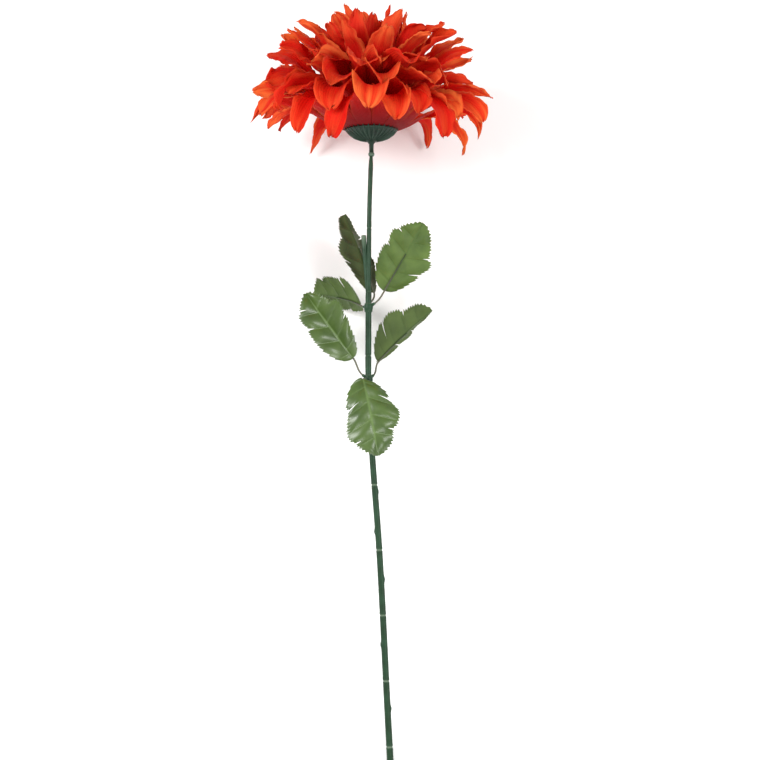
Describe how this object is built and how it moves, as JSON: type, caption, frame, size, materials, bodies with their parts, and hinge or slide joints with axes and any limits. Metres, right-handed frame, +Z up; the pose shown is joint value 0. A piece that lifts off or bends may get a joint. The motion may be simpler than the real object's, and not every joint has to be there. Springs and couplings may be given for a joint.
{
  "type": "artificial chrysanthemum stem",
  "caption": "Artificial chrysanthemum lying on its side: a domed head of layered fabric petals and a ribbed calyx on a wired plastic stem with sprigs of lobed fabric leaves.",
  "frame": {"origin": "on the surface the flower lies on, under the middle of its outline", "axes": "+Z up; +Y along the lying stem, from its cut end to the flower head; +X to the right of that"},
  "size_m": [0.225, 0.7042, 0.2065],
  "materials": {
    "petal_fabric": "die-cut and heat-moulded polyester satin, red at the heart of each petal and orange at its margins and tip",
    "leaf_fabric": "coated polyester leaf fabric, glossy on top and matte underneath, with pressed veins",
    "green_plastic": "moulded green polyethylene with a low sheen",
    "rib_plastic": "thin moulded grey-green polyethylene",
    "wire_steel": "plain drawn steel wire"
  },
  "bodies": {
    "root": {"stem": "green_plastic", "stem_wire": "wire_steel", "calyx": "green_plastic", "centre_cap": "green_plastic", "petal_whorl_01": "petal_fabric", "petal_whorl_02": "petal_fabric", "petal_whorl_03": "petal_fabric", "petal_whorl_04": "petal_fabric", "petal_whorl_05": "petal_fabric", "petal_whorl_06": "petal_fabric", "petal_whorl_07": "petal_fabric", "petal_whorl_08": "petal_fabric", "petal_whorl_09": "petal_fabric", "petal_whorl_10": "petal_fabric", "spacer_01": "green_plastic", "spacer_02": "green_plastic", "spacer_03": "green_plastic", "spacer_04": "green_plastic", "spacer_05": "green_plastic", "spacer_06": "green_plastic", "spacer_07": "green_plastic", "spacer_08": "green_plastic", "spacer_09": "green_plastic", "lower_leaf_collar": "green_plastic", "upper_leaf_collar": "green_plastic", "lower_front_leaf": "leaf_fabric", "lower_front_rib": "rib_plastic", "lower_left_leaf": "leaf_fabric", "lower_left_rib": "rib_plastic", "lower_right_leaf": "leaf_fabric", "lower_right_rib": "rib_plastic", "upper_right_leaf": "leaf_fabric", "upper_right_rib": "rib_plastic", "upper_left_leaf": "leaf_fabric", "upper_left_rib": "rib_plastic", "upper_back_leaf": "leaf_fabric", "upper_back_rib": "rib_plastic"}
  },
  "joints": []
}
